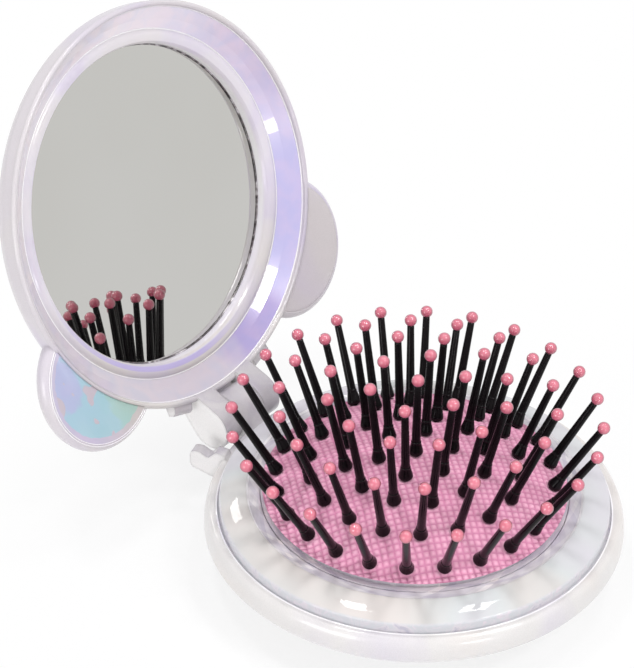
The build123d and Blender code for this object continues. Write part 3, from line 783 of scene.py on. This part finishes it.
def grid_faces(inside):
    """Quads of a square grid whose four corners are all inside, and the edges that only one of them has."""
    size = len(inside)
    rows, columns = np.nonzero(inside[:-1, :-1] & inside[1:, :-1] & inside[1:, 1:] & inside[:-1, 1:])
    corner = rows * size + columns
    quads = np.stack([corner, corner + size, corner + size + 1, corner + 1], -1)
    edges = np.concatenate([quads[:, [k, (k + 1) % 4]] for k in range(4)])
    key = np.sort(edges, axis=1)
    key = key[:, 0] * size * size + key[:, 1]
    _, first, count = np.unique(key, return_index=True, return_counts=True)
    return quads, edges[first[count == 1]]


def pad_mesh():
    """The pad's points and faces, with the depth of the groove and the share of the skirt at each point."""
    frames = [item for row in ROWS for item in pin_frames(row)]
    step = WAFFLE_PITCH / WAFFLE_STEPS
    half = int(math.ceil(PAD_RIM / step)) + 1
    line = np.arange(-half, half + 1) * step
    across, along = (part.ravel() for part in np.meshgrid(line, line, indexing="ij"))
    turn = math.radians(WAFFLE_TURN)
    x = across * math.cos(turn) - along * math.sin(turn)
    y = across * math.sin(turn) + along * math.cos(turn)
    radius = np.hypot(x, y)
    surface = np.stack([x, y, dome_height(radius)], -1)
    out = surface - np.array([0.0, 0.0, DOME_CENTRE])
    out /= np.linalg.norm(out, axis=-1, keepdims=True)
    near, nearest = nearest_pins(surface, frames)
    margin = step * 0.35
    inside = (radius < PAD_RIM - margin) & (near > HOLE_RADIUS + margin)
    quads, rim = grid_faces(inside.reshape(len(line), len(line)))

    # The grid's rim is drawn out to the pad's edge, and to the holes
    on_rim = np.zeros(len(x), bool)
    on_rim[rim.ravel()] = True
    outer = on_rim & (radius > PAD_RIM - 3 * step)
    surface[outer, :2] *= (PAD_RIM / radius[outer])[:, None]
    for item in np.nonzero(on_rim & ~outer)[0]:
        foot, way = frames[nearest[item]][:2]
        gap = surface[item] - foot
        lift = gap @ way
        gap -= lift * way
        surface[item] = foot + lift * way + gap * (HOLE_RADIUS / np.linalg.norm(gap))
    surface[:, 2] = dome_height(np.hypot(surface[:, 0], surface[:, 1]))

    # Face, pressed in at the grooves and rounded at the edge
    weave = waffle(across, along)
    depth = weave * np.clip((near - HOLE_RADIUS - 0.1) / 0.7, 0.0, 1.0)
    edge = np.clip((PAD_RIM - radius) / 0.5, 0.0, 1.0)
    top = surface - out * (0.01 + WAFFLE_DEPTH * depth + 0.12 * (1 - edge) ** 2)[:, None]

    # Underside, along the pins near them, and drawn in over the carrier
    pull = np.clip((1.6 - near) / 0.6, 0.0, 1.0)[:, None]
    ways = np.array([item[1] for item in frames])[nearest]
    bottom = surface - (out * (1 - pull) + ways * pull) * PAD_SKIN
    spread = np.hypot(bottom[:, 0], bottom[:, 1])
    drawn = (HELD_RADIUS + (spread - HELD_RADIUS) * 0.4) / np.maximum(spread, 1.0)
    bottom[:, :2] *= np.where(spread > HELD_RADIUS, drawn, 1.0)[:, None]
    way_out = surface[outer, :2] / np.hypot(surface[outer, 0], surface[outer, 1])[:, None]
    width = len(way_out)
    bottom[outer] = np.column_stack([way_out * SEAT_RADIUS, np.full(width, LIP_FOOT)])

    # Serrated lip below the edge
    teeth = TOOTH_DEPTH * weave[outer, None]
    lip = [
        np.column_stack([way_out * (lip_radius - teeth), np.full(width, height)])
        for lip_radius, height in LIP_PROFILE
    ]

    kept = np.unique(quads)
    number = len(kept)
    index_of = np.full(len(x), -1)
    index_of[kept] = np.arange(number)
    wall_index = np.full(len(x), -1)
    wall_index[outer] = 2 * number + np.arange(width)
    points = np.concatenate([top[kept], bottom[kept]] + lip)
    faces = index_of[quads].tolist()
    faces += (index_of[quads][:, ::-1] + number).tolist()
    for a, b in rim:
        first, second = index_of[a], index_of[b]
        chain = [(first, second), (first + number, second + number)]
        if outer[a] and outer[b]:
            chain[1:1] = [(wall_index[a] + width * k, wall_index[b] + width * k) for k in range(len(lip))]
        for (upper_a, upper_b), (lower_a, lower_b) in zip(chain, chain[1:]):
            faces.append((upper_b, upper_a, lower_a, lower_b))
    # The groove share also darkens the pad's colour in its material, as painted shade in the grooves.
    groove = np.concatenate([depth[kept], np.zeros(number), np.full(width * len(lip), 0.5)])
    skirt = np.zeros(len(points))
    skirt[2 * number + 3 * width:] = 1.0
    return points, faces, groove, skirt


def make_pad(material):
    """Rubber dome with its woven face, a serrated edge, a plain underside and a hole for each pin."""
    points, faces, groove, skirt = pad_mesh()
    piece = mesh_piece("rubber_pad", points, faces, material)
    for name, values in (("groove", groove), ("skirt", skirt)):
        attribute = piece.data.attributes.new(name, "FLOAT", "POINT")
        attribute.data.foreach_set("value", values.astype(np.float32))
    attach(piece, "pad")
    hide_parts("pad_cushion")
    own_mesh(piece)


# Studio

def make_camera():
    """The photograph's camera: where it stands, how it is turned, and its field."""
    place = Vector((-320.321, -232.880, 333.188)) * MM
    look = Vector((0.63623, 0.51003, -0.57886)).normalized()
    roll = math.radians(0.344)
    level = look.cross(Vector((0, 0, 1))).normalized()
    lift = level.cross(look)
    right = level * math.cos(roll) + lift * math.sin(roll)
    up = -level * math.sin(roll) + lift * math.cos(roll)
    data = bpy.data.cameras.new("camera")
    data.sensor_width = 36.0
    data.lens = 143.905
    data.clip_start = 0.01
    data.clip_end = 20.0
    camera = bpy.data.objects.new("camera", data)
    bpy.context.scene.collection.objects.link(camera)
    turn = Matrix((right, up, -look)).transposed().to_4x4()
    camera.matrix_world = Matrix.Translation(place) @ turn
    bpy.context.scene.camera = camera


def white_rays(tree):
    """1 for the rays that see white past the object: the camera's, a gloss's and clear plastic's."""
    path = add_node(tree, "ShaderNodeLightPath").outputs
    seen = calc(tree, "ADD", path["Is Camera Ray"], path["Is Glossy Ray"], clamp=True)
    return calc(tree, "ADD", seen, path["Is Transmission Ray"], clamp=True)


def make_world():
    """Even studio light, and white where the camera, a gloss or clear plastic looks past the object."""
    world = bpy.data.worlds.new("studio")
    bpy.context.scene.world = world
    world.use_nodes = True
    tree = world.node_tree
    tree.nodes.clear()
    light, white = (
        add_node(tree, "ShaderNodeBackground", {"Color": FULL_WHITE, "Strength": strength}).outputs[0]
        for strength in (0.55, 1.0)
    )
    both = add_node(tree, "ShaderNodeMixShader", {"Fac": white_rays(tree), 1: light, 2: white})
    add_node(tree, "ShaderNodeOutputWorld", {"Surface": both.outputs[0]})


def make_floor():
    """Pale paper sweep: it takes the soft shadow and goes over into the white behind."""
    size, rings, steps, level = 1400.0, 8, 48, -0.02
    points = [(0.0, 0.0, level)]
    for ring in range(1, rings + 1):
        radius = size * (ring / rings) ** 2
        points += [(radius * math.cos(angle), radius * math.sin(angle), level) for angle in angles(steps)]
    faces = [(0, 1 + step, 1 + (step + 1) % steps) for step in range(steps)]
    faces += [face[::-1] for face in strip_faces(rings, steps, 1)]
    material, tree, shader = new_material("paper_floor", Roughness=0.8, Specular_IOR_Level=0.1)
    place = object_place(tree)
    paper = ramp(tree, noise(tree, place, 900.0, 3.0), [(0.3, (236, 236, 237)), (0.7, (240, 240, 241))])
    tree.links.new(paper, shader.inputs["Base Color"])
    far = add_node(tree, "ShaderNodeVectorMath", {0: place}, operation="LENGTH").outputs["Value"]
    fade = rise(tree, far, 0.038, 0.1, interpolation_type="SMOOTHSTEP")
    share = calc(tree, "MULTIPLY", white_rays(tree), calc(tree, "MULTIPLY_ADD", fade, 0.2, 0.8))
    glow = add_node(tree, "ShaderNodeEmission", {"Color": FULL_WHITE, "Strength": 1.0})
    both = add_node(tree, "ShaderNodeMixShader", {"Fac": share, 1: shader.outputs[0], 2: glow.outputs[0]})
    tree.links.new(both.outputs[0], tree.nodes["Material Output"].inputs["Surface"])
    mesh_piece("floor", points, faces, material)


def area_light(name, place, aim, size, power, upward=(0.0, 0.0, 1.0)):
    """A rectangular softbox that faces a point, with its height along a direction. Lengths are metres."""
    data = bpy.data.lights.new(name, "AREA")
    data.shape = "RECTANGLE"
    data.size, data.size_y = size
    data.energy = power
    light = bpy.data.objects.new(name, data)
    bpy.context.scene.collection.objects.link(light)
    back = (Vector(place) - Vector(aim)).normalized()
    right = Vector(upward).cross(back).normalized()
    turn = Matrix((right, back.cross(right), back)).transposed().to_4x4()
    light.matrix_world = Matrix.Translation(place) @ turn


def make_lights():
    """Two softboxes whose reflections show on the ring and channel, and three fills."""
    top, brush, tilt = (0.0, 0.0, 0.02), (0.0, 0.02, 0.03), (-0.8, -0.6, 0.0)
    area_light("softbox_left", (-0.064, 0.168, 0.78), top, (0.1, 0.15), 1.3, tilt)
    area_light("softbox_right", (0.19, -0.115, 0.77), top, (0.1, 0.15), 1.0, tilt)
    area_light("front_fill", (0.033, -0.532, 0.713), brush, (0.24, 0.13), 2.4)
    area_light("low_fill", (-0.325, -0.765, 0.03), brush, (0.2, 0.1), 0.8)
    area_light("left_fill", (-0.9, 0.05, 0.16), brush, (0.45, 0.3), 2.4)


def main():
    make_camera()
    make_world()
    make_floor()
    make_lights()
    dress_nodes()
    make_ring(clear_ring())
    make_beads()
    make_lobe_face("left", -1, lobe_film())
    make_lobe_face("right", 1, pearl_plastic(
        "lobe_pearl", (205, 198, 200), ((202, 193, 204), (212, 206, 201)), 40.0, 0.35, 0.3))
    make_pins(pin_nylon())
    make_pad(pad_rubber())
    bpy.context.scene.view_settings.view_transform = "Standard"


main()
